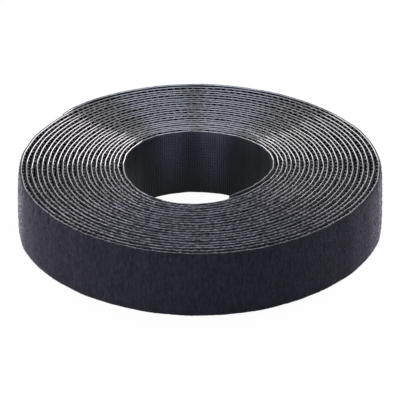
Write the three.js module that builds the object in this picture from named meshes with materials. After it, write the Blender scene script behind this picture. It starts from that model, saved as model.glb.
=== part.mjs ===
// Roll of back-to-back hook and loop tape, wound on itself without a core.
// Millimetres, +Z up. The origin is on the roll's axis, in the plane that the roll stands on.
// Two webs are bonded together: a film with moulded hooks, facing in, and a looped fabric, facing out.
// Angles are in degrees around the axis, from +X towards +Y, and go on counting past each full turn.
import * as THREE from 'three';

// Tape
const TAPE_WIDTH = 20;
const HOOK_FILM_THICKNESS = 0.26;
const LOOP_FABRIC_THICKNESS = 0.4;
const BOND_LINE = 0.04;

// Winding: the hooks hold the turns apart, less in the tight inner turns than in the slack outer ones
const BORE_RADIUS = 21.3;
const INNER_HOOK_SPACE = 0.5;
const OUTER_HOOK_SPACE = 0.83;
const INNER_END_ANGLE = -62;
const OUTER_END_ANGLE = 136;
const FULL_TURNS = 22;
const STEPS_PER_TURN = 24;

// A hand-wound roll is not quite round: each set of lobes lifts the turns by its size towards its first
// lobe, fading from the innermost turn's size to the outermost turn's. One lobe is a shift to that side.
const LOBES = [
  { count: 1, towards: 98, innermost: 1.55, outermost: 0.1 },
  { count: 2, towards: 60, innermost: 0.6, outermost: 0 },
  { count: 3, towards: 15, innermost: 0.7, outermost: 0.25 },
  { count: 4, towards: 6, innermost: 0, outermost: 0.3 },
];

// Loose ends: the outer end peels away from the roll, the inner end turns into the bore
const TAIL_SEGMENTS = 5;
const TAIL_SEGMENT_ANGLE = 15;
const TAIL_SWING = 60;
const TONGUE_SEGMENTS = 3;
const TONGUE_SEGMENT_ANGLE = 30;
const TONGUE_SWING = 45;
const HINGE_CLEARANCE = 0.12;

// Finishes
const FILM_COLOUR = 0x3a3b42;
const FILM_ROUGHNESS = 0.4;
const FABRIC_COLOUR = 0x27272d;
const FABRIC_ROUGHNESS = 0.95;

// Heights above the film's hook side, through the thickness of the tape
const FILM_OUTSIDE = HOOK_FILM_THICKNESS;
const FABRIC_INSIDE = FILM_OUTSIDE + BOND_LINE;
const TAPE_THICKNESS = FABRIC_INSIDE + LOOP_FABRIC_THICKNESS;
const BOND_MIDDLE = FILM_OUTSIDE + BOND_LINE / 2;

// Angles along the tape, from its inner end to its outer end
const STEP_ANGLE = 360 / STEPS_PER_TURN;
const LAST_ANGLE = OUTER_END_ANGLE + 360 * FULL_TURNS;
const TURNS = (LAST_ANGLE - INNER_END_ANGLE) / 360;

// How far the turns at this angle stray from a round spiral
function stray(angle) {
  const wound = (angle - INNER_END_ANGLE) / (LAST_ANGLE - INNER_END_ANGLE);
  let total = 0;
  for (const { count, towards, innermost, outermost } of LOBES) {
    const size = innermost + (outermost - innermost) * wound;
    total += size * Math.cos(THREE.MathUtils.degToRad(count * (angle - towards)));
  }
  return total;
}

// Radius of the film's hook side
function hookSideRadius(angle) {
  const turns = (angle - INNER_END_ANGLE) / 360;
  const slackening = (OUTER_HOOK_SPACE - INNER_HOOK_SPACE) / (2 * TURNS);
  const growth = (TAPE_THICKNESS + INNER_HOOK_SPACE) * turns + slackening * turns * turns;
  return BORE_RADIUS + growth + stray(angle);
}

function spiralPoint(angle, height) {
  const radius = hookSideRadius(angle) + height;
  const direction = THREE.MathUtils.degToRad(angle);
  return new THREE.Vector3(radius * Math.cos(direction), radius * Math.sin(direction), 0);
}

// The tape runs straight between corners one step apart, which lie in line from turn to turn
function tapePoint(angle, height) {
  const stepsFromEnd = Math.ceil((LAST_ANGLE - angle) / STEP_ANGLE);
  const cornerBefore = LAST_ANGLE - STEP_ANGLE * stepsFromEnd;
  const share = (angle - cornerBefore) / STEP_ANGLE;
  const before = spiralPoint(cornerBefore, height);
  const after = spiralPoint(cornerBefore + STEP_ANGLE, height);
  return before.lerp(after, share);
}

// The two ends and every corner of the tape between them
function stations(startAngle, endAngle) {
  const angles = [startAngle];
  const firstStep = Math.ceil((LAST_ANGLE - startAngle) / STEP_ANGLE) - 1;
  for (let step = firstStep; LAST_ANGLE - STEP_ANGLE * step < endAngle; step -= 1) {
    angles.push(LAST_ANGLE - STEP_ANGLE * step);
  }
  angles.push(endAngle);
  return angles;
}

// One closed strip of tape, four corners at each station and a cap at each end
function stripGeometry(startAngle, endAngle, inside, outside) {
  const positions = [];
  const angles = stations(startAngle, endAngle);
  for (const angle of angles) {
    const near = tapePoint(angle, inside);
    const far = tapePoint(angle, outside);
    positions.push(near.x, near.y, 0, far.x, far.y, 0);
    positions.push(far.x, far.y, TAPE_WIDTH, near.x, near.y, TAPE_WIDTH);
  }
  const index = [0, 1, 2, 0, 2, 3];
  for (let station = 0; station < angles.length - 1; station += 1) {
    for (let side = 0; side < 4; side += 1) {
      const here = 4 * station + side;
      const beside = 4 * station + (side + 1) % 4;
      index.push(here, here + 4, beside + 4, here, beside + 4, beside);
    }
  }
  const end = 4 * (angles.length - 1);
  index.push(end, end + 2, end + 1, end, end + 3, end + 2);
  const geometry = new THREE.BufferGeometry();
  geometry.setAttribute('position', new THREE.Float32BufferAttribute(positions, 3));
  geometry.setIndex(index);
  geometry.computeVertexNormals();
  return geometry;
}

function hookFilm(name, startAngle, endAngle) {
  const material = new THREE.MeshStandardMaterial({ color: FILM_COLOUR, roughness: FILM_ROUGHNESS, metalness: 0 });
  const mesh = new THREE.Mesh(stripGeometry(startAngle, endAngle, 0, FILM_OUTSIDE), material);
  mesh.name = name;
  return mesh;
}

function loopFabric(name, startAngle, endAngle) {
  const material = new THREE.MeshStandardMaterial({
    color: FABRIC_COLOUR,
    roughness: FABRIC_ROUGHNESS,
    metalness: 0,
  });
  const mesh = new THREE.Mesh(stripGeometry(startAngle, endAngle, FABRIC_INSIDE, TAPE_THICKNESS), material);
  mesh.name = name;
  return mesh;
}

// Both webs over one stretch of tape
function tapeStretch(name, startAngle, endAngle) {
  const stretch = new THREE.Group();
  stretch.add(hookFilm(`${name}_hook_film`, startAngle, endAngle));
  stretch.add(loopFabric(`${name}_loop_fabric`, startAngle, endAngle));
  return stretch;
}

// Half of the opening that a hinge in the bond line needs, as an angle, so that the web on the side that
// folds together still clears its neighbour at the full swing
function halfHingeAngle(hingeAngle, foldingSide, swing) {
  const halfSwing = THREE.MathUtils.degToRad(swing) / 2;
  const opening = 2 * foldingSide * Math.tan(halfSwing) + HINGE_CLEARANCE;
  const radius = hookSideRadius(hingeAngle) + BOND_MIDDLE;
  return THREE.MathUtils.radToDeg(opening / 2 / radius);
}

// Hinges of the outer loose end, from the roll to the last segment
function tailHinges() {
  const hinges = [];
  for (let segment = TAIL_SEGMENTS; segment > 0; segment -= 1) {
    const angle = LAST_ANGLE - segment * TAIL_SEGMENT_ANGLE;
    const half = halfHingeAngle(angle, TAPE_THICKNESS - BOND_MIDDLE, TAIL_SWING);
    hinges.push({ angle, half });
  }
  return hinges;
}

// Hinges of the inner loose end, from the roll to the last segment
function tongueHinges() {
  const hinges = [];
  for (let segment = TONGUE_SEGMENTS; segment > 0; segment -= 1) {
    const angle = INNER_END_ANGLE + segment * TONGUE_SEGMENT_ANGLE;
    const half = halfHingeAngle(angle, BOND_MIDDLE, TONGUE_SWING);
    hinges.push({ angle, half });
  }
  return hinges;
}

// The unbroken winding between the two loose ends
function winding() {
  const innerHinge = tongueHinges()[0];
  const outerHinge = tailHinges()[0];
  return tapeStretch('wound', innerHinge.angle + innerHinge.half, outerHinge.angle - outerHinge.half);
}

// The outer loose end, peeled away segment by segment
function tail() {
  const chain = new THREE.Group();
  const hinges = tailHinges();
  hinges.forEach((hinge, order) => {
    const next = hinges[order + 1];
    const endAngle = next ? next.angle - next.half : LAST_ANGLE;
    chain.add(tapeStretch(`tail_${order + 1}`, hinge.angle + hinge.half, endAngle));
  });
  return chain;
}

// The inner loose end, turned into the bore segment by segment
function tongue() {
  const chain = new THREE.Group();
  const hinges = tongueHinges();
  hinges.forEach((hinge, order) => {
    const next = hinges[order + 1];
    const startAngle = next ? next.angle + next.half : INNER_END_ANGLE;
    chain.add(tapeStretch(`tongue_${order + 1}`, startAngle, hinge.angle - hinge.half));
  });
  return chain;
}

// Least gap from the fabric of one turn to the hook side of the next turn out, measured at every corner
function leastGapBetweenTurns() {
  let least = Infinity;
  for (let angle = LAST_ANGLE - 360; angle > INNER_END_ANGLE; angle -= STEP_ANGLE) {
    const outside = tapePoint(angle, TAPE_THICKNESS);
    for (const side of [-STEP_ANGLE, STEP_ANGLE]) {
      const farAngle = Math.min(angle + 360 + side, LAST_ANGLE);
      const nextTurn = new THREE.Line3(tapePoint(angle + 360, 0), tapePoint(farAngle, 0));
      const nearest = nextTurn.closestPointToPoint(outside, true, new THREE.Vector3());
      least = Math.min(least, nearest.distanceTo(outside));
    }
  }
  return least;
}

// Where the hinges stand, for the joints
function printHinges(name, hinges) {
  hinges.forEach(({ angle }, order) => {
    const pivot = tapePoint(angle, BOND_MIDDLE);
    console.log(`${name} hinge ${order + 1}: x ${pivot.x.toFixed(3)} y ${pivot.y.toFixed(3)} mm`);
  });
}

const roll = new THREE.Group();
roll.add(winding(), tail(), tongue());

console.log(`least gap between turns: ${leastGapBetweenTurns().toFixed(3)} mm over ${TURNS.toFixed(2)} turns`);
printHinges('tail', tailHinges());
printHinges('tongue', tongueHinges());

export default roll;
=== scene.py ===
# Roll of back-to-back hook and loop tape, in soft studio light on a white floor.
# Shapes are worked out in millimetres and in degrees along the tape, and meshes are written in metres.
# Angles go round the roll's axis from +X towards +Y and go on counting past each full turn.
import math

import bpy
import numpy as np
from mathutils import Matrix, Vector

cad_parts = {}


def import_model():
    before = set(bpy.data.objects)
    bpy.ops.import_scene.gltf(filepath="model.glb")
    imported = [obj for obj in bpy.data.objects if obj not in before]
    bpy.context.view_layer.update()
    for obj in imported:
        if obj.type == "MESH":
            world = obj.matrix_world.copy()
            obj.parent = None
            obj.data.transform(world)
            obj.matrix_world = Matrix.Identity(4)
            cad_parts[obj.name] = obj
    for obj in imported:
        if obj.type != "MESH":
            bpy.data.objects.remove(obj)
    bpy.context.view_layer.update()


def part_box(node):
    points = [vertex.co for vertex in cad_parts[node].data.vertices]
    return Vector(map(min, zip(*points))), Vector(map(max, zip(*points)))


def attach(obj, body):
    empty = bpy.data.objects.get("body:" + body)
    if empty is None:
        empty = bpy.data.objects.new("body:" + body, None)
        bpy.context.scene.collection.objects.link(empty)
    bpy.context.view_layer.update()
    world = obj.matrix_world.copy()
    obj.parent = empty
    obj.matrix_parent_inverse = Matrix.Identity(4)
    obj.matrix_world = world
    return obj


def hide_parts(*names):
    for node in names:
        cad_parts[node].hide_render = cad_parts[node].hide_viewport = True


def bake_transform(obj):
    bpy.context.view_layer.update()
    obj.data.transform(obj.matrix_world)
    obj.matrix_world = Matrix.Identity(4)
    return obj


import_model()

MM = 0.001
RANDOM_SEED = 11
random = np.random.default_rng(RANDOM_SEED)

# Tape, the same as the solids
film_low, film_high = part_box("wound_hook_film")
TAPE_WIDTH = (film_high[2] - film_low[2]) / MM
HOOK_FILM_THICKNESS = 0.26
LOOP_FABRIC_THICKNESS = 0.4
BOND_LINE = 0.04
FABRIC_INSIDE = HOOK_FILM_THICKNESS + BOND_LINE
TAPE_THICKNESS = FABRIC_INSIDE + LOOP_FABRIC_THICKNESS
BOND_MIDDLE = HOOK_FILM_THICKNESS + BOND_LINE / 2

# Winding, the same as the solids
BORE_RADIUS = 21.3
INNER_HOOK_SPACE = 0.5
OUTER_HOOK_SPACE = 0.83
INNER_END_ANGLE = -62
OUTER_END_ANGLE = 136
FULL_TURNS = 22
LAST_ANGLE = OUTER_END_ANGLE + 360 * FULL_TURNS
TURNS = (LAST_ANGLE - INNER_END_ANGLE) / 360
LOBES = [
    {"count": 1, "towards": 98, "innermost": 1.55, "outermost": 0.1},
    {"count": 2, "towards": 60, "innermost": 0.6, "outermost": 0},
    {"count": 3, "towards": 15, "innermost": 0.7, "outermost": 0.25},
    {"count": 4, "towards": 6, "innermost": 0, "outermost": 0.3},
]

# Loose ends, the same as the solids
TAIL_SEGMENTS = 5
TAIL_SEGMENT_ANGLE = 15
TONGUE_SEGMENTS = 3
TONGUE_SEGMENT_ANGLE = 30

# Edges of the tape: fall of the film's edges towards the hooks, and the small wander of the turns
FILM_EDGE_FALL = 0.13
FILM_BACK_ROUND = 0.06
SELVAGE_LEAST = 0.02
SELVAGE_WIDTH = 0.32
SELVAGE_GROWS = (1.6, 2.2)
SELVAGE_FADES = (4, 9)
EDGE_SWAY = 0.07
SIDE_SWAY = 0.045
EDGE_WAVES = (0.71, 2.93)
SIDE_WAVES = (11.37, 18.71, 29.53)

# The innermost turn stands a little away from the next one
INNER_SLACK = 0.2
INNER_SLACK_ANGLE = 60

# The outer end is drawn out to a thin tip, pressed into the turn below
TIP_ANGLE = LAST_ANGLE + 3.5
TIP_SLOPE_ANGLE = 6
TIP_PRESS = 0.8
TIP_TAPER = 0.33

# Moulded hooks: large ones in the rows along both edges and small ones in the field between them
EDGE_HOOK_PITCH = 2.0
EDGE_HOOK_DEPTH = 0.3
EDGE_HOOK_INSET = 0.42
EDGE_HOOK_SIZES = (0.8, 1.2)
EDGE_HOOK_HALF_PROFILE = [
    (0.30, -0.03), (0.22, 0.20), (0.33, 0.18), (0.40, 0.26), (0.32, 0.44), (0.14, 0.50)
]
EDGE_HOOK_STRAY = 0.1
FIELD_HOOK_PITCH = EDGE_HOOK_PITCH / 3
FIELD_HOOK_ROWS = 22
FIELD_HOOK_DEPTH = 0.84
FIELD_HOOK_INSET = 0.65
FIELD_HOOK_HALF_PROFILE = [(0.26, -0.03), (0.18, 0.14), (0.31, 0.16), (0.24, 0.34)]

# Loop fabric: how far its cut edges keep back from the film's edges, and how ragged they are
COVERED_SETBACK = 0.18
COVERED_RAG = 0.08
FREE_SETBACK = 0.04
FREE_RAG = 0.05
FABRIC_EDGE = 0.1
FABRIC_SHOULDER = 0.3
FABRIC_JITTER = 0.025

# Loop pile: how far the free fabric stands out, its dents and its loops
PILE_TOP_RIM = -0.12
PILE_BOTTOM_RIM = 0.1
PILE_CROWN = 0.45
PILE_RAMP_ANGLE = 4
DENT_COUNT = 90
DENT_DEPTH = 0.4
DENT_DEPTH_SHARES = (0.3, 1)
DENT_HALF_WIDTH = 0.4
DENT_HALF_HEIGHT = 0.9
DENT_BELOW_RIM = (0.7, 1.3)
LOOP_HEIGHT = (0.05, 0.15)
COVERED_LOOP_SHARE = 0.4
LOOP_SPAN = (0.3, 0.65)
LOOP_RADIUS = 0.035
LOOP_MARGIN = COVERED_SETBACK + FABRIC_SHOULDER
LOOPS_PER_SQUARE_MM = 1.8

# Cut fibres: single ones along covered edges and tufts along free rims
EDGE_FIBRE_LENGTH = (0.15, 0.5)
EDGE_FIBRES_PER_MM = 1.3
EDGE_FIBRE_SPREAD = 0.4
RIM_FIBRE_LENGTH = (0.1, 0.28)
RIM_FIBRES_PER_MM = 12
RIM_FIBRE_SPREAD = 0.5
RIM_TUFT = 6
RIM_TUFT_SPREAD = 0.15

# Each fibre: its radius, and shares for its thin tip, its curl, its lean outward and the swell it follows
FIBRE_RADIUS = 0.026
FIBRE_TIP = 0.5
FIBRE_CURL = 0.35
FIBRE_LEAN = 0.3
FIBRE_LIFT = 0.7

# Fineness of the meshes: steps along the tape in millimetres, and points round each form
FINE_STEP = 0.5
WOUND_FILM_STEP = 1.25
WOUND_FABRIC_STEP = 0.62
PATH_POINTS_PER_DEGREE = 2
EDGE_STEPS = 5
FREE_FACE_STEPS = 32
COVERED_FACE_STEPS = 1
STRAND_SIDES = 3
LOOP_RINGS = 5
FIBRE_RINGS = 3
SHARP_ANGLE = math.radians(60)
FREE_PILE_PARTS = 3

# Camera
CAMERA_ELEVATION = 28
CAMERA_DISTANCE = 3.0
CAMERA_AIM = (0.534 * MM, 0, 9.70 * MM)
CAMERA_REACH = 20
VIEW_WIDTH = 115.44 * MM
SENSOR_WIDTH = 36

# Stage and light: lengths in metres, power in watts
FLOOR_SIZE = 6
FLOOR_COLOUR = (0.9, 0.9, 0.9, 1)
FLOOR_GLOW = 0.965
WORLD_LIGHT = 0.48
WORLD_COLOUR = (0.93, 0.97, 1.1, 1)
BOX_DISTANCE = 0.7
BOX_WIDTH = 0.62
PANEL_HEIGHT = 1.0
PANEL_WIDTH = 0.37
PANEL_DEPTH = 0.6
PANEL_APART = 0.24
PANEL_BACK = 0.05
PANEL_COLOUR = (0.72, 0.86, 1.2)
PANEL_POWER = 0.96


# Path of the tape

def smooth_step(values, low, high):
    share = np.clip((values - low) / (high - low), 0, 1)
    return share * share * (3 - 2 * share)


def waves(angles, counts):
    """Sum of waves, as many round each turn as each count says."""
    return sum(np.cos(np.radians(count * angles)) for count in counts)


def hook_side_radius(angles):
    """Radius of the film's hook side."""
    turns = (angles - INNER_END_ANGLE) / 360
    slackening = (OUTER_HOOK_SPACE - INNER_HOOK_SPACE) / (2 * TURNS)
    radius = BORE_RADIUS + (TAPE_THICKNESS + INNER_HOOK_SPACE) * turns + slackening * turns ** 2
    radius = radius + SIDE_SWAY * waves(angles, SIDE_WAVES)
    radius = radius - TIP_PRESS * smooth_step(angles, TIP_ANGLE - TIP_SLOPE_ANGLE, TIP_ANGLE)
    one_turn = INNER_END_ANGLE + 360
    radius = radius - INNER_SLACK * (1 - smooth_step(angles, one_turn - INNER_SLACK_ANGLE, one_turn))
    for lobe in LOBES:
        size = lobe["innermost"] + (lobe["outermost"] - lobe["innermost"]) * turns / TURNS
        radius = radius + size * np.cos(np.radians(lobe["count"] * (angles - lobe["towards"])))
    return radius


def sway(angles):
    """Rise of the tape's upper edge above the lowest turn."""
    return EDGE_SWAY * (len(EDGE_WAVES) + waves(angles, EDGE_WAVES))


def tape_frame(angles):
    """Unit vectors along the tape, out from the axis and across the tape."""
    turned = np.radians(angles)
    zero = np.zeros_like(turned)
    along = np.stack((-np.sin(turned), np.cos(turned), zero), axis=-1)
    outward = np.stack((np.cos(turned), np.sin(turned), zero), axis=-1)
    across = np.stack((zero, zero, zero + 1), axis=-1)
    return along, outward, across


def tape_points(angles, heights, across):
    """Points at these heights above the hook side and these distances across the tape."""
    angles, heights, across = np.broadcast_arrays(angles, heights, across)
    turned = np.radians(angles)
    radius = hook_side_radius(angles) + heights
    level = across * (1 + sway(angles) / TAPE_WIDTH)
    return np.stack((radius * np.cos(turned), radius * np.sin(turned), level), axis=-1)


class Stretch:
    """A stretch of tape between two angles, measured along its bond line."""

    def __init__(self, start, end):
        self.start = start
        self.end = end
        self.angles = np.linspace(start, end, int((end - start) * PATH_POINTS_PER_DEGREE) + 2)
        points = tape_points(self.angles, BOND_MIDDLE, 0)[:, :2]
        steps = np.linalg.norm(np.diff(points, axis=0), axis=1)
        self.lengths = np.concatenate(([0], np.cumsum(steps)))
        self.length = self.lengths[-1]

    def length_at(self, angle):
        """Length from the start of the stretch to this angle."""
        return np.interp(angle, self.angles, self.lengths)

    def at(self, lengths):
        """Angles at these lengths along the stretch."""
        return np.interp(lengths, self.lengths, self.angles)

    def stations(self, spacing):
        """Evenly spaced angles, both ends included."""
        return self.at(np.linspace(0, self.length, max(2, round(self.length / spacing) + 1)))

    def steps(self, start, end, pitch):
        """Lengths between two angles that are odd halves of this pitch."""
        first = math.ceil(self.length_at(start) / pitch - 0.5)
        last = math.ceil(self.length_at(end) / pitch - 0.5)
        return (np.arange(first, last) + 0.5) * pitch

    def scatter(self, count):
        """Random angles, spread evenly over the length."""
        return self.at(random.uniform(0, self.length, count))


WHOLE_TAPE = Stretch(INNER_END_ANGLE, TIP_ANGLE)


# Meshes

def mesh_object(name, points, faces, materials, face_materials=None, smooth=True):
    """A new object from points in millimetres."""
    mesh = bpy.data.meshes.new(name)
    mesh.from_pydata((points * MM).tolist(), [], faces)
    for material in materials:
        mesh.materials.append(material)
    if face_materials is not None:
        mesh.polygons.foreach_set("material_index", face_materials)
    mesh.polygons.foreach_set("use_smooth", [smooth] * len(mesh.polygons))
    mesh.update()
    piece = bpy.data.objects.new(name, mesh)
    bpy.context.scene.collection.objects.link(piece)
    return piece


def swept_object(name, angles, heights, across, materials, side_materials):
    """A closed strip: an outline at each station, counter-clockwise in height and distance across."""
    stations, corners = np.broadcast_shapes(heights.shape, across.shape)
    points = tape_points(angles[:, None], heights, across).reshape(-1, 3)
    station = np.arange(stations - 1)[:, None] * corners
    corner = np.arange(corners)[None, :]
    beside = (corner + 1) % corners
    here = station + corner
    next_to = station + beside
    quads = np.stack((here, here + corners, next_to + corners, next_to), axis=-1)
    faces = quads.reshape(-1, 4).tolist()
    faces.append(list(range(corners)))
    faces.append(list(range(stations * corners - 1, (stations - 1) * corners - 1, -1)))
    face_materials = list(side_materials) * (stations - 1) + [side_materials[0]] * 2
    strip = mesh_object(name, points, faces, materials, face_materials)
    strip.data.set_sharp_from_angle(angle=SHARP_ANGLE)
    return strip


def copies_object(name, shape, shape_faces, shape_materials, angles, across, sizes, materials):
    """Copies of one closed shape on the hook side, given along the tape, out from it and across it."""
    along, outward, sideways = (axis[:, None, :] for axis in tape_frame(angles))
    origins = tape_points(angles, 0, across)[:, None, :]
    offsets = shape[:, 0:1] * along + shape[:, 1:2] * outward + shape[:, 2:3] * sideways
    points = origins + np.reshape(sizes, (-1, 1, 1)) * offsets
    faces = []
    for copy in range(len(angles)):
        first = copy * len(shape)
        faces.extend([first + corner for corner in face] for face in shape_faces)
    face_materials = list(shape_materials) * len(angles)
    return mesh_object(name, points.reshape(-1, 3), faces, materials, face_materials, smooth=False)


def strands_object(name, curves, binormals, radii, materials):
    """Closed thin strands along many flat curves, all with the same number of points."""
    count, rings = curves.shape[:2]
    tangents = np.gradient(curves, axis=1)
    tangents = tangents / np.linalg.norm(tangents, axis=2, keepdims=True)
    binormals = np.broadcast_to(binormals[:, None, :], curves.shape)
    normals = np.cross(binormals, tangents)
    turns = np.arange(STRAND_SIDES) * 2 * math.pi / STRAND_SIDES
    offsets = normals[:, :, None, :] * np.cos(turns)[:, None]
    offsets = offsets + binormals[:, :, None, :] * np.sin(turns)[:, None]
    points = curves[:, :, None, :] + radii[None, :, None, None] * offsets
    corners = rings * STRAND_SIDES
    pattern = []
    for ring in range(rings - 1):
        for side in range(STRAND_SIDES):
            here = ring * STRAND_SIDES + side
            beside = ring * STRAND_SIDES + (side + 1) % STRAND_SIDES
            pattern.append((here, beside, beside + STRAND_SIDES, here + STRAND_SIDES))
    caps = [tuple(range(STRAND_SIDES))[::-1], tuple(range(corners - STRAND_SIDES, corners))]
    faces = []
    for strand in range(count):
        first = strand * corners
        faces.extend([first + corner for corner in face] for face in pattern + caps)
    return mesh_object(name, points.reshape(-1, 3), faces, materials)


# Materials

def cool_grey(lightness, blue):
    """A grey whose blue is this many times as strong."""
    return (lightness, lightness, blue * lightness)


class Finish:
    """A procedural material around one Principled shader."""

    def __init__(self, name, **values):
        self.material = bpy.data.materials.new(name)
        self.material.use_nodes = True
        self.nodes = self.material.node_tree.nodes
        self.links = self.material.node_tree.links
        self.shader = self.nodes["Principled BSDF"]
        for socket, value in values.items():
            self.shader.inputs[socket.replace("_", " ")].default_value = value

    def noise(self, size, detail, stretch=(1, 1, 1)):
        """Noise with features of this size in millimetres, stretched along each axis."""
        place = self.nodes.new("ShaderNodeTexCoord")
        mapping = self.nodes.new("ShaderNodeMapping")
        mapping.inputs["Scale"].default_value = [1 / length for length in stretch]
        texture = self.nodes.new("ShaderNodeTexNoise")
        texture.inputs["Scale"].default_value = 1 / (size * MM)
        texture.inputs["Detail"].default_value = detail
        self.links.new(place.outputs["Object"], mapping.inputs["Vector"])
        self.links.new(mapping.outputs["Vector"], texture.inputs["Vector"])
        return texture.outputs["Fac"]

    def bands(self, period, phase, low):
        """Soft upright bands along X, this many millimetres apart, from a low value to 1."""
        place = self.nodes.new("ShaderNodeTexCoord")
        texture = self.nodes.new("ShaderNodeTexWave")
        texture.bands_direction = "X"
        texture.inputs["Scale"].default_value = math.pi / 10 / (period * MM)
        texture.inputs["Phase Offset"].default_value = phase
        spread = self.nodes.new("ShaderNodeMapRange")
        spread.inputs["To Min"].default_value = low
        self.links.new(place.outputs["Object"], texture.inputs["Vector"])
        self.links.new(texture.outputs["Fac"], spread.inputs["Value"])
        return spread.outputs["Result"]

    def near(self, centre, reach):
        """1 at a place in millimetres, fading to 0 at this reach from it."""
        place = self.nodes.new("ShaderNodeTexCoord")
        distance = self.nodes.new("ShaderNodeVectorMath")
        distance.operation = "DISTANCE"
        distance.inputs[1].default_value = [part * MM for part in centre]
        spread = self.nodes.new("ShaderNodeMapRange")
        spread.inputs["From Max"].default_value = reach * MM
        spread.inputs["To Min"].default_value = 1
        spread.inputs["To Max"].default_value = 0
        self.links.new(place.outputs["Object"], distance.inputs[0])
        self.links.new(distance.outputs["Value"], spread.inputs["Value"])
        return spread.outputs["Result"]

    def product(self, first, second):
        """Both factors multiplied."""
        times = self.nodes.new("ShaderNodeMath")
        times.operation = "MULTIPLY"
        self.links.new(first, times.inputs[0])
        self.links.new(second, times.inputs[1])
        return times.outputs["Value"]

    def tint(self, fac, stops):
        """Base colour from a ramp of (position, linear colour)."""
        ramp = self.nodes.new("ShaderNodeValToRGB")
        elements = ramp.color_ramp.elements
        for element, (position, colour) in zip(elements, (stops[0], stops[-1])):
            element.position = position
            element.color = (*colour, 1)
        for position, colour in stops[1:-1]:
            elements.new(position).color = (*colour, 1)
        self.links.new(fac, ramp.inputs["Fac"])
        self.links.new(ramp.outputs["Color"], self.shader.inputs["Base Color"])

    def painted_sheen(self, colour, start):
        """Painted sheen of a nap: a lighter base colour from this share of edge-on facing to fully edge
        on.
        """
        facing = self.nodes.new("ShaderNodeLayerWeight")
        spread = self.nodes.new("ShaderNodeMapRange")
        spread.inputs["From Min"].default_value = start
        mix = self.nodes.new("ShaderNodeMixRGB")
        mix.inputs["Color2"].default_value = (*colour, 1)
        base = self.shader.inputs["Base Color"]
        self.links.new(facing.outputs["Facing"], spread.inputs["Value"])
        share = spread.outputs["Result"]
        self.links.new(self.product(share, share), mix.inputs["Fac"])
        self.links.new(base.links[0].from_socket, mix.inputs["Color1"])
        self.links.new(mix.outputs["Color"], base)

    def roughness(self, fac, low, high):
        """Roughness that varies with a noise."""
        spread = self.nodes.new("ShaderNodeMapRange")
        spread.inputs["To Min"].default_value = low
        spread.inputs["To Max"].default_value = high
        self.links.new(fac, spread.inputs["Value"])
        self.links.new(spread.outputs["Result"], self.shader.inputs["Roughness"])

    def bump(self, fac, depth, strength):
        """Relief of this depth in millimetres."""
        relief = self.nodes.new("ShaderNodeBump")
        relief.inputs["Strength"].default_value = strength
        relief.inputs["Distance"].default_value = depth * MM
        self.links.new(fac, relief.inputs["Height"])
        self.links.new(relief.outputs["Normal"], self.shader.inputs["Normal"])

    def weave(self):
        """The fine relief of the fabric."""
        self.bump(self.noise(size=0.12, detail=3), depth=0.06, strength=0.6)


def film_finish():
    finish = Finish("film_painted_reflections", Specular_IOR_Level=0.15)
    # Painted reflections: soft upright lighter bands along X and a painted pool of light near one place in
    # the bore both lighten the film's colour.
    bands = finish.bands(period=13.6, phase=0.9, low=0.35)
    painted_light_pool = finish.near(centre=(-1, 22, 19), reach=22)
    stops = [(0.08, (0.016, 0.020, 0.025)), (0.25, (0.036, 0.041, 0.052)), (0.6, (0.092, 0.096, 0.128))]
    finish.tint(finish.product(bands, painted_light_pool), stops)
    finish.roughness(finish.noise(size=0.8, detail=2), low=0.35, high=0.5)
    finish.bump(finish.noise(size=0.35, detail=2, stretch=(1, 1, 4)), depth=0.02, strength=0.3)
    return finish.material


def covered_film_finish():
    finish = Finish("film_between_turns_painted_shade", Specular_IOR_Level=0.1, Roughness=0.6)
    # Painted shade: this copy of the film is darker than the open film and is used for the hook side
    # hidden between the turns.
    mottle = finish.noise(size=0.8, detail=2)
    finish.tint(mottle, [(0.3, (0.006, 0.006, 0.008)), (0.7, (0.018, 0.018, 0.023))])
    return finish.material


def film_edge_finish(name, dark, light):
    finish = Finish(name, Specular_IOR_Level=0.8, Coat_Weight=1.0, Coat_Roughness=0.08, Coat_IOR=2.0)
    mottle = finish.noise(size=1.8, detail=5)
    finish.tint(mottle, [(0.4, cool_grey(dark, 1.15)), (0.64, cool_grey(light, 1.15))])
    finish.roughness(finish.noise(size=2.0, detail=3), low=0.07, high=0.32)
    return finish.material


def bond_finish():
    finish = Finish("bond_side", Specular_IOR_Level=0.3, Roughness=0.6)
    mottle = finish.noise(size=1.6, detail=4)
    finish.tint(mottle, [(0.40, cool_grey(0.05, 1.24)), (0.62, cool_grey(0.58, 1.2))])
    return finish.material


def hook_finish():
    finish = Finish("hook_side", Specular_IOR_Level=0.5)
    mottle = finish.noise(size=1.1, detail=3)
    finish.tint(mottle, [(0.3, (0.05, 0.05, 0.058)), (0.7, (0.13, 0.13, 0.148))])
    finish.roughness(finish.noise(size=0.5, detail=2), low=0.3, high=0.5)
    return finish.material


def hook_edge_finish():
    finish = Finish("hook_cut_face", Specular_IOR_Level=0.2)
    mottle = finish.noise(size=1.1, detail=3)
    finish.tint(mottle, [(0.35, (0.05, 0.05, 0.056)), (0.65, (0.14, 0.14, 0.157))])
    finish.roughness(finish.noise(size=0.5, detail=2), low=0.35, high=0.55)
    return finish.material


def fabric_finish():
    finish = Finish(
        "loop_velour", Specular_IOR_Level=0.15, Sheen_Weight=0.7, Sheen_Roughness=0.25,
        Sheen_Tint=(0.93, 0.83, 1, 1), Roughness=0.9
    )
    mottle = finish.noise(size=0.7, detail=5, stretch=(1, 1, 3))
    finish.tint(mottle, [(0.28, (0.008, 0.008, 0.0125)), (0.75, (0.028, 0.028, 0.0405))])
    # Painted sheen: the velour's base colour is lightened where the surface is seen edge on, giving the
    # glow along the roll's outline.
    finish.painted_sheen(colour=(0.235, 0.217, 0.253), start=0.7)
    finish.weave()
    return finish.material


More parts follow.
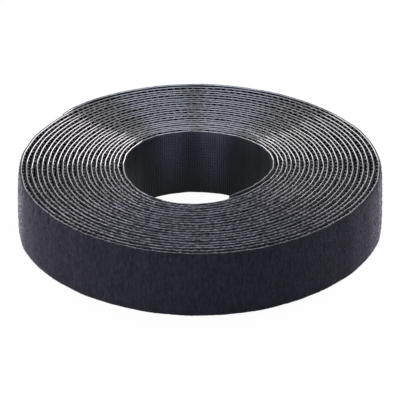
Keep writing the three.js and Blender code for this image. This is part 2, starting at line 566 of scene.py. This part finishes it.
def covered_fabric_finish():
    finish = Finish("loop_velour_covered_painted_shade", Specular_IOR_Level=0.1, Roughness=0.95)
    # Painted shade: a darker copy of the velour for its face between the turns. It also has no sheen.
    mottle = finish.noise(size=0.5, detail=4)
    finish.tint(mottle, [(0.3, (0.007, 0.007, 0.012)), (0.7, (0.021, 0.021, 0.031))])
    finish.weave()
    return finish.material


def fabric_edge_finish(name, patch, dark, light):
    finish = Finish(name, Specular_IOR_Level=0.2, Roughness=0.9)
    mottle = finish.product(finish.noise(size=0.45, detail=4), finish.noise(size=patch, detail=3))
    finish.tint(mottle, [(0.18, cool_grey(dark, 1.3)), (0.36, cool_grey(light, 1.2))])
    finish.weave()
    return finish.material


def pile_finish():
    finish = Finish(
        "loop_yarn", Specular_IOR_Level=0.15, Sheen_Weight=0.5, Sheen_Roughness=0.25,
        Sheen_Tint=(0.93, 0.83, 1, 1), Roughness=0.9
    )
    mottle = finish.noise(size=1.2, detail=3, stretch=(1, 1, 3))
    finish.tint(mottle, [(0.3, (0.007, 0.007, 0.012)), (0.7, (0.024, 0.023, 0.036))])
    return finish.material


def fuzz_finish():
    finish = Finish("cut_fibres", Specular_IOR_Level=0.4, Roughness=0.55, Sheen_Weight=0.3)
    mottle = finish.noise(size=0.8, detail=3)
    finish.tint(mottle, [(0.3, (0.06, 0.058, 0.070)), (0.75, (0.36, 0.34, 0.38))])
    return finish.material


FILM = film_finish()
COVERED_FILM = covered_film_finish()
FILM_EDGE = film_edge_finish("film_cut_edge", dark=0.033, light=0.15)
FILM_RIM = film_edge_finish("film_cut_edge_in_bore", dark=0.08, light=0.27)
BOND = bond_finish()
HOOK = hook_finish()
HOOK_EDGE = hook_edge_finish()
FABRIC = fabric_finish()
COVERED_FABRIC = covered_fabric_finish()
FABRIC_EDGE_CUT = fabric_edge_finish("loop_fabric_cut_edge", patch=1.1, dark=0.004, light=0.036)
FABRIC_EDGE_FUZZ = fabric_edge_finish("loop_fabric_edge_fuzz", patch=1.1, dark=0.012, light=0.06)
FREE_EDGE_CUT = fabric_edge_finish("loop_fabric_free_cut_edge", patch=1.6, dark=0.012, light=0.13)
FREE_EDGE_FUZZ = fabric_edge_finish("loop_fabric_free_edge_fuzz", patch=1.6, dark=0.006, light=0.035)
OPEN_FILM_FINISHES = [FILM, FILM_RIM, BOND]
COVERED_FILM_FINISHES = [COVERED_FILM, FILM_EDGE, BOND]
COVERED_FABRIC_FINISHES = [COVERED_FABRIC, FABRIC_EDGE_CUT, FABRIC_EDGE_FUZZ]
FREE_FABRIC_FINISHES = [FABRIC, FREE_EDGE_CUT, FREE_EDGE_FUZZ]
INNER_FABRIC_FINISHES = [FABRIC, FABRIC_EDGE_CUT, FABRIC_EDGE_FUZZ]
PILE = pile_finish()
FUZZ = fuzz_finish()


# Webs of the tape

def selvage(angles):
    """Width of the light strip below the film's edges, widest on the turns next to the innermost one."""
    turns = (angles - INNER_END_ANGLE) / 360
    share = smooth_step(turns, *SELVAGE_GROWS) * (1 - smooth_step(turns, *SELVAGE_FADES))
    return SELVAGE_LEAST + SELVAGE_WIDTH * share


def film_strip(name, stretch, spacing, finishes):
    """The hook film without its hooks. Its edges slope down towards the hooks and are rounded behind."""
    turn = np.linspace(-math.pi / 2, math.pi / 2, 2 * EDGE_STEPS + 1)
    crest = HOOK_FILM_THICKNESS - FILM_BACK_ROUND
    height = crest - np.where(turn < 0, FILM_BACK_ROUND, crest) * np.sin(turn)
    inset = np.where(turn < 0, FILM_BACK_ROUND * (1 - np.cos(turn)), FILM_EDGE_FALL * np.sin(turn))
    angles = stretch.stations(spacing)
    heights = np.concatenate(([0], height[::-1], height, [0]))
    across = np.concatenate(([0], inset[::-1], TAPE_WIDTH - inset, [0]))
    shape = (len(angles), len(heights))
    heights = np.broadcast_to(heights, shape)
    across = np.broadcast_to(across, shape).copy()
    across[:, 0] = FILM_EDGE_FALL + selvage(angles)
    across[:, -1] = TAPE_WIDTH - across[:, 0]
    edge = [1] * (2 * EDGE_STEPS + 1)
    return swept_object(name, angles, heights, across, finishes, [*edge, 2, *edge, 0])


def free_share(angles):
    """1 where the fabric lies free on the outside of the roll, 0 where a turn covers it."""
    free_from = LAST_ANGLE - 360
    return smooth_step(angles, free_from - PILE_RAMP_ANGLE / 2, free_from + PILE_RAMP_ANGLE / 2)


dent_angles = random.uniform(LAST_ANGLE - 360, LAST_ANGLE, DENT_COUNT)
dent_places = TAPE_WIDTH - DENT_BELOW_RIM[0] - random.exponential(DENT_BELOW_RIM[1], DENT_COUNT)
dent_depths = DENT_DEPTH * random.uniform(*DENT_DEPTH_SHARES, DENT_COUNT)


def dents(angles, across):
    """Depth of the small dents in the free fabric, most of them close under its top rim."""
    angles, across = np.broadcast_arrays(angles, across)
    along = np.radians(angles[..., None] - dent_angles) * hook_side_radius(LAST_ANGLE) / DENT_HALF_WIDTH
    upward = (across[..., None] - dent_places) / DENT_HALF_HEIGHT
    return (dent_depths * np.exp(-along ** 2 - upward ** 2)).sum(axis=-1)


def pile_lift(angles, across):
    """How far the free fabric swells out at this distance across the tape."""
    share = across / TAPE_WIDTH
    rim = PILE_BOTTOM_RIM + (PILE_TOP_RIM - PILE_BOTTOM_RIM) * share
    roundness = np.sqrt(np.clip(1 - (2 * share - 1) ** 2, 0, 1))
    tip = smooth_step(angles, TIP_ANGLE - TIP_SLOPE_ANGLE, TIP_ANGLE)
    lift = (rim + (PILE_CROWN - rim) * roundness - dents(angles, across)) * free_share(angles)
    return lift * (1 - tip) - TIP_TAPER * tip


def fabric_strip(name, stretch, spacing, face_steps, finishes, setback, rag):
    """The loop fabric without its pile, with ragged edges that are set back and a swollen free face."""
    angles = stretch.stations(spacing)
    inside, outside = FABRIC_INSIDE, TAPE_THICKNESS
    low, high = setback, TAPE_WIDTH - setback
    face = np.linspace(low + FABRIC_SHOULDER, high - FABRIC_SHOULDER, face_steps + 1)
    third = LOOP_FABRIC_THICKNESS / 3
    rise = [inside, inside + third, outside - third]
    heights = rise + [outside] * len(face) + rise[::-1]
    across = [low + FABRIC_EDGE, low, low, *face, high, high, high - FABRIC_EDGE]
    shape = (len(angles), len(heights))
    heights = np.broadcast_to(heights, shape).copy()
    across = np.broadcast_to(across, shape).copy()
    outer = slice(len(rise), len(rise) + len(face))
    heights[:, outer] += pile_lift(angles[:, None], across[:, outer])
    heights[:, outer] += random.uniform(-FABRIC_JITTER, FABRIC_JITTER, (len(angles), len(face)))
    edges = [1, 2, len(heights[0]) - 3, len(heights[0]) - 2]
    across[:, edges] += random.uniform(-rag, rag, (len(angles), len(edges)))
    across = np.maximum(across, 0)
    sides = [1, 1, 2] + [0] * face_steps + [2, 1, 1] + [0]
    return swept_object(name, angles, heights, across, finishes, sides)


def covered_fabric(name, stretch):
    """Fabric between the turns, where only its edges show."""
    steps = (WOUND_FABRIC_STEP, COVERED_FACE_STEPS)
    return fabric_strip(name, stretch, *steps, COVERED_FABRIC_FINISHES, COVERED_SETBACK, COVERED_RAG)


def free_fabric(name, stretch, finishes):
    """Fabric whose outer face shows, or can come to show."""
    return fabric_strip(name, stretch, FINE_STEP, FREE_FACE_STEPS, finishes, FREE_SETBACK, FREE_RAG)


# Hooks

def hook_shape(right, depth):
    """One hook with two crooks, from one half of its profile: its points, faces and their materials."""
    left = [(-along, height) for along, height in reversed(right)]
    outline = right + left
    count = len(outline)
    upper = [(along, -height, depth / 2) for along, height in outline]
    lower = [(along, -height, -depth / 2) for along, height in outline]
    sides = [(k, (k + 1) % count, (k + 1) % count + count, k + count) for k in range(count)]
    faces = sides + [tuple(range(count)), tuple(range(2 * count - 1, count - 1, -1))]
    return np.array(upper + lower), faces, [0] * count + [1, 1]


def edge_hooks(name, stretch, across):
    """One row of large hooks at this distance across the tape."""
    places = WHOLE_TAPE.steps(stretch.start, stretch.end, EDGE_HOOK_PITCH)
    angles = WHOLE_TAPE.at(places + random.normal(0, EDGE_HOOK_STRAY, len(places)))
    across = across + random.normal(0, EDGE_HOOK_STRAY / 2, len(places))
    shape, faces, materials = hook_shape(EDGE_HOOK_HALF_PROFILE, EDGE_HOOK_DEPTH)
    sizes = random.uniform(*EDGE_HOOK_SIZES, len(places))
    return copies_object(name, shape, faces, materials, angles, across, sizes, [HOOK, HOOK_EDGE])


def field_hooks(name, stretch):
    """Rows of small hooks over the whole width of the tape."""
    columns = WHOLE_TAPE.at(WHOLE_TAPE.steps(stretch.start, stretch.end, FIELD_HOOK_PITCH))
    rows = np.linspace(FIELD_HOOK_INSET, TAPE_WIDTH - FIELD_HOOK_INSET, FIELD_HOOK_ROWS)
    angles = np.tile(columns, len(rows))
    across = np.repeat(rows, len(columns))
    shape, faces, materials = hook_shape(FIELD_HOOK_HALF_PROFILE, FIELD_HOOK_DEPTH)
    # The hooks' sides take the film with its painted reflections. Their caps take the darker film between
    # turns, which is painted shade.
    return copies_object(name, shape, faces, materials, angles, across, 1, [FILM, COVERED_FILM])


# Pile and fibres

def pile_loops(name, stretch, height_share=1):
    """Small loops of yarn that stand on the fabric's outer face."""
    count = int(stretch.length * TAPE_WIDTH * LOOPS_PER_SQUARE_MM)
    angles = stretch.scatter(count)
    across = random.uniform(LOOP_MARGIN, TAPE_WIDTH - LOOP_MARGIN, count)
    heights = TAPE_THICKNESS + pile_lift(angles, across)
    along, outward, sideways = tape_frame(angles)
    facing = random.uniform(0, math.pi, count)[:, None]
    span_direction = np.cos(facing) * along + np.sin(facing) * sideways
    span = random.uniform(*LOOP_SPAN, count)[:, None, None]
    rise = height_share * random.uniform(*LOOP_HEIGHT, count)[:, None, None]
    turn = np.linspace(0, math.pi, LOOP_RINGS)[None, :, None]
    origins = tape_points(angles, heights - LOOP_RADIUS, across)[:, None, :]
    curves = origins - span / 2 * np.cos(turn) * span_direction[:, None, :]
    curves = curves + rise * np.sin(turn) * outward[:, None, :]
    curves[:, :, 2] = np.clip(curves[:, :, 2], LOOP_RADIUS, TAPE_WIDTH)
    binormals = np.cross(outward, span_direction)
    return strands_object(name, curves, binormals, np.full(LOOP_RINGS, LOOP_RADIUS), [PILE])


def fibre_strands(name, origins, heading, lengths, radius):
    """Thin tapered fibres from these origins, each curling away from its heading."""
    count = len(origins)
    heading = heading / np.linalg.norm(heading, axis=1, keepdims=True)
    curl = np.cross(heading, random.normal(0, 1, (count, 3)))
    curl = curl / np.linalg.norm(curl, axis=1, keepdims=True)
    length = random.uniform(*lengths, count)[:, None, None]
    share = np.linspace(0, 1, FIBRE_RINGS)[None, :, None]
    bend = FIBRE_CURL * share ** 2 * curl[:, None, :]
    curves = origins[:, None, :] + length * (share * heading[:, None, :] + bend)
    curves[:, :, 2] = np.maximum(curves[:, :, 2], radius)
    radii = radius * np.linspace(1, FIBRE_TIP, FIBRE_RINGS)
    return strands_object(name, curves, np.cross(heading, curl), radii, [FUZZ])


def cut_fibres(name, angles, lengths, edge, setback, spread):
    """Cut fibre ends that stand up from the edges of the fabric. An edge is 0 below and 1 above."""
    count = len(angles)
    heights = random.uniform(FABRIC_INSIDE, TAPE_THICKNESS, count)
    heights = heights + FIBRE_LIFT * pile_lift(angles, TAPE_WIDTH * edge)
    below = setback + FABRIC_EDGE
    across = np.where(edge > 0, TAPE_WIDTH - below, below)
    along, outward, sideways = tape_frame(angles)
    heading = sideways * (2 * edge - 1)[:, None]
    heading = heading + random.normal(0, spread, count)[:, None] * along
    heading = heading + random.normal(FIBRE_LEAN * spread, spread, count)[:, None] * outward
    return fibre_strands(name, tape_points(angles, heights, across), heading, lengths, FIBRE_RADIUS)


def edge_fibres(name, stretch):
    """Single fibre ends along the edges of the covered turns, more of them above."""
    angles = stretch.scatter(int(stretch.length * EDGE_FIBRES_PER_MM))
    edge = random.choice([0, 1, 1], len(angles))
    return cut_fibres(name, angles, EDGE_FIBRE_LENGTH, edge, COVERED_SETBACK, EDGE_FIBRE_SPREAD)


def rim_fibres(name, stretch):
    """Tufts of fibre ends along both rims of the free fabric."""
    tufts = int(stretch.length * RIM_FIBRES_PER_MM / RIM_TUFT)
    angles = np.repeat(stretch.scatter(tufts), RIM_TUFT)
    angles = np.clip(angles + random.normal(0, RIM_TUFT_SPREAD, len(angles)), stretch.start, stretch.end)
    edge = np.repeat(random.choice([0, 1], tufts), RIM_TUFT)
    return cut_fibres(name, angles, RIM_FIBRE_LENGTH, edge, FREE_SETBACK, RIM_FIBRE_SPREAD)


# Putting the tape together

def on_film(piece):
    return piece


def on_fabric(piece):
    return piece


def winding():
    """The unbroken winding between the two loose ends."""
    start = INNER_END_ANGLE + (TONGUE_SEGMENTS + 0.5) * TONGUE_SEGMENT_ANGLE
    end = LAST_ANGLE - (TAIL_SEGMENTS + 0.5) * TAIL_SEGMENT_ANGLE
    cover = LAST_ANGLE - 360 - TAIL_SEGMENT_ANGLE / 2
    covered = Stretch(start, cover)
    free = Stretch(cover, end)
    bore_end = INNER_END_ANGLE + 360 + TONGUE_SEGMENTS * TONGUE_SEGMENT_ANGLE
    bore = Stretch(start, bore_end)
    between_turns = Stretch(bore_end, end)
    bore_film = on_film(film_strip("wound_film_in_bore", bore, FINE_STEP, OPEN_FILM_FINISHES))
    film = on_film(film_strip("wound_film", between_turns, WOUND_FILM_STEP, COVERED_FILM_FINISHES))
    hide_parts("wound_hook_film")
    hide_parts("wound_hook_film")
    hooks = [
        on_film(edge_hooks("wound_hooks_top_edge", between_turns, TAPE_WIDTH - EDGE_HOOK_INSET)),
        on_film(edge_hooks("wound_hooks_bottom_edge", between_turns, EDGE_HOOK_INSET)),
        on_film(field_hooks("wound_hooks_in_bore", bore)),
    ]
    inner_fabric = on_fabric(covered_fabric("wound_fabric", covered))
    outer_fabric = on_fabric(free_fabric("wound_fabric_outside", free, FREE_FABRIC_FINISHES))
    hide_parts("wound_loop_fabric")
    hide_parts("wound_loop_fabric")
    inner_fibres = on_fabric(edge_fibres("wound_edge_fibres", covered))
    under_tail = Stretch(cover - (TAIL_SEGMENTS + 0.5) * TAIL_SEGMENT_ANGLE, cover)
    covered_pile = on_fabric(pile_loops("wound_pile_under_tail", under_tail, COVERED_LOOP_SHARE))
    outer_pieces = [on_fabric(rim_fibres("wound_rim_fibres", free))]
    cuts = np.linspace(free.start, free.end, FREE_PILE_PARTS + 1)
    for order, (pile_start, pile_end) in enumerate(zip(cuts, cuts[1:]), 1):
        outer_pieces.append(on_fabric(pile_loops(f"wound_pile_{order}", Stretch(pile_start, pile_end))))
    webs = [film, bore_film, inner_fabric, outer_fabric]
    for piece in [*webs, inner_fibres, covered_pile, *hooks, *outer_pieces]:
        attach(piece, "roll")


def loose_piece(name, stretch, hinge_angle, finishes, loop_share):
    """Both webs, hooks and pile over one stretch of a loose end."""
    film = on_film(film_strip(f"{name}_film", stretch, FINE_STEP, OPEN_FILM_FINISHES))
    hooks = on_film(field_hooks(f"{name}_hooks", stretch))
    fabric = on_fabric(free_fabric(f"{name}_fabric", stretch, finishes))
    pile = on_fabric(pile_loops(f"{name}_pile", stretch, loop_share))
    fibres = on_fabric(rim_fibres(f"{name}_fibres", stretch))
    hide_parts(f"{name}_hook_film")
    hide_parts(f"{name}_loop_fabric")
    hinge = tape_points(hinge_angle, BOND_MIDDLE, TAPE_WIDTH / 2) * MM
    for piece in (film, hooks, fabric, pile, fibres):
        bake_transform(piece)


def tail():
    """The outer loose end, in segments that lie along the roll."""
    for segment in range(1, TAIL_SEGMENTS + 1):
        hinge = LAST_ANGLE - (TAIL_SEGMENTS + 1 - segment) * TAIL_SEGMENT_ANGLE
        start = hinge - TAIL_SEGMENT_ANGLE / 2
        end = TIP_ANGLE if segment == TAIL_SEGMENTS else hinge + TAIL_SEGMENT_ANGLE / 2
        name = f"tail_{segment}"
        loose_piece(name, Stretch(start, end), hinge, FREE_FABRIC_FINISHES, 1)


def tongue():
    """The inner loose end, in segments along the innermost turn."""
    for segment in range(1, TONGUE_SEGMENTS + 1):
        hinge = INNER_END_ANGLE + (TONGUE_SEGMENTS + 1 - segment) * TONGUE_SEGMENT_ANGLE
        end = hinge + TONGUE_SEGMENT_ANGLE / 2
        start = INNER_END_ANGLE if segment == TONGUE_SEGMENTS else hinge - TONGUE_SEGMENT_ANGLE / 2
        name = f"tongue_{segment}"
        loose_piece(name, Stretch(start, end), hinge, INNER_FABRIC_FINISHES, COVERED_LOOP_SHARE)


# Stage, light and camera

def looked_at(name, data, place, aim):
    """A lamp or camera at a place, facing its aim."""
    thing = bpy.data.objects.new(name, data)
    thing.location = place
    thing.rotation_euler = (Vector(aim) - Vector(place)).to_track_quat("-Z", "Y").to_euler()
    bpy.context.scene.collection.objects.link(thing)
    return thing


def seen_rays(nodes, links, share):
    """A factor that is share for rays that show the stage itself, and 0 for rays that light the object."""
    path = nodes.new("ShaderNodeLightPath")
    total = path.outputs["Is Camera Ray"]
    for ray in ("Is Glossy Ray", "Is Transmission Ray"):
        add = nodes.new("ShaderNodeMath")
        add.operation = "MAXIMUM"
        links.new(total, add.inputs[0])
        links.new(path.outputs[ray], add.inputs[1])
        total = add.outputs[0]
    scaled = nodes.new("ShaderNodeMath")
    scaled.operation = "MULTIPLY"
    scaled.inputs[1].default_value = share
    links.new(total, scaled.inputs[0])
    return scaled.outputs[0]


def floor():
    """A white floor that glows for the camera and keeps a soft shadow."""
    material = bpy.data.materials.new("floor_white")
    material.use_nodes = True
    nodes, links = material.node_tree.nodes, material.node_tree.links
    nodes.remove(nodes["Principled BSDF"])
    diffuse = nodes.new("ShaderNodeBsdfDiffuse")
    diffuse.inputs["Color"].default_value = FLOOR_COLOUR
    glow = nodes.new("ShaderNodeEmission")
    mix = nodes.new("ShaderNodeMixShader")
    links.new(seen_rays(nodes, links, FLOOR_GLOW), mix.inputs["Fac"])
    links.new(diffuse.outputs["BSDF"], mix.inputs[1])
    links.new(glow.outputs["Emission"], mix.inputs[2])
    links.new(mix.outputs["Shader"], nodes["Material Output"].inputs["Surface"])
    half = FLOOR_SIZE / 2 / MM
    corners = np.array([(-half, -half, 0), (half, -half, 0), (half, half, 0), (-half, half, 0)])
    mesh_object("floor", corners, [(0, 1, 2, 3)], [material])


def world():
    """Even light from all round, which the camera sees as white."""
    surroundings = bpy.data.worlds.new("studio")
    surroundings.use_nodes = True
    nodes, links = surroundings.node_tree.nodes, surroundings.node_tree.links
    light = nodes["Background"]
    light.inputs["Color"].default_value = WORLD_COLOUR
    light.inputs["Strength"].default_value = WORLD_LIGHT
    seen = nodes.new("ShaderNodeBackground")
    seen.inputs["Color"].default_value = (1, 1, 1, 1)
    mix = nodes.new("ShaderNodeMixShader")
    links.new(seen_rays(nodes, links, 1), mix.inputs["Fac"])
    links.new(light.outputs["Background"], mix.inputs[1])
    links.new(seen.outputs["Background"], mix.inputs[2])
    links.new(mix.outputs["Shader"], nodes["World Output"].inputs["Surface"])
    bpy.context.scene.world = surroundings


def softbox(name, bearing, bottom, top, colour, power):
    """An upright soft lamp that faces the roll. The bearing is from straight behind, towards the left."""
    lamp = bpy.data.lights.new(name, "AREA")
    lamp.shape = "RECTANGLE"
    lamp.size = BOX_WIDTH
    lamp.size_y = top - bottom
    lamp.color = colour
    lamp.energy = power
    turn = math.radians(bearing)
    height = (top + bottom) / 2
    place = (-BOX_DISTANCE * math.sin(turn), BOX_DISTANCE * math.cos(turn), height)
    looked_at(name, lamp, place, (0, 0, height))


def overhead_panel(name, side):
    """A cool lamp above the roll, on this side of it."""
    lamp = bpy.data.lights.new(name, "AREA")
    lamp.shape = "RECTANGLE"
    lamp.size = PANEL_WIDTH
    lamp.size_y = PANEL_DEPTH
    lamp.color = PANEL_COLOUR
    lamp.energy = PANEL_POWER
    x = side * PANEL_APART
    looked_at(name, lamp, (x, PANEL_BACK, PANEL_HEIGHT), (x, PANEL_BACK, 0))


def lights():
    softbox("left_rear_box", bearing=50, bottom=0.12, top=0.85, colour=(1, 0.96, 0.91), power=4.25)
    softbox("right_rear_box", bearing=-48.5, bottom=0.12, top=0.785, colour=(1, 0.93, 0.93), power=5.9)
    softbox("left_low_box", bearing=100, bottom=0.02, top=0.14, colour=(1, 0.94, 1), power=3.0)
    overhead_panel("left_panel", -1)
    overhead_panel("right_panel", 1)


def camera():
    lens = bpy.data.cameras.new("camera")
    lens.sensor_width = SENSOR_WIDTH
    lens.lens = SENSOR_WIDTH * CAMERA_DISTANCE / VIEW_WIDTH
    lens.clip_end = CAMERA_REACH
    rise = math.radians(CAMERA_ELEVATION)
    back = Vector((0, -math.cos(rise), math.sin(rise))) * CAMERA_DISTANCE
    aim = Vector(CAMERA_AIM)
    bpy.context.scene.camera = looked_at("camera", lens, aim + back, aim)


winding()
tail()
tongue()
floor()
world()
lights()
camera()
bpy.context.scene.view_settings.view_transform = "Standard"
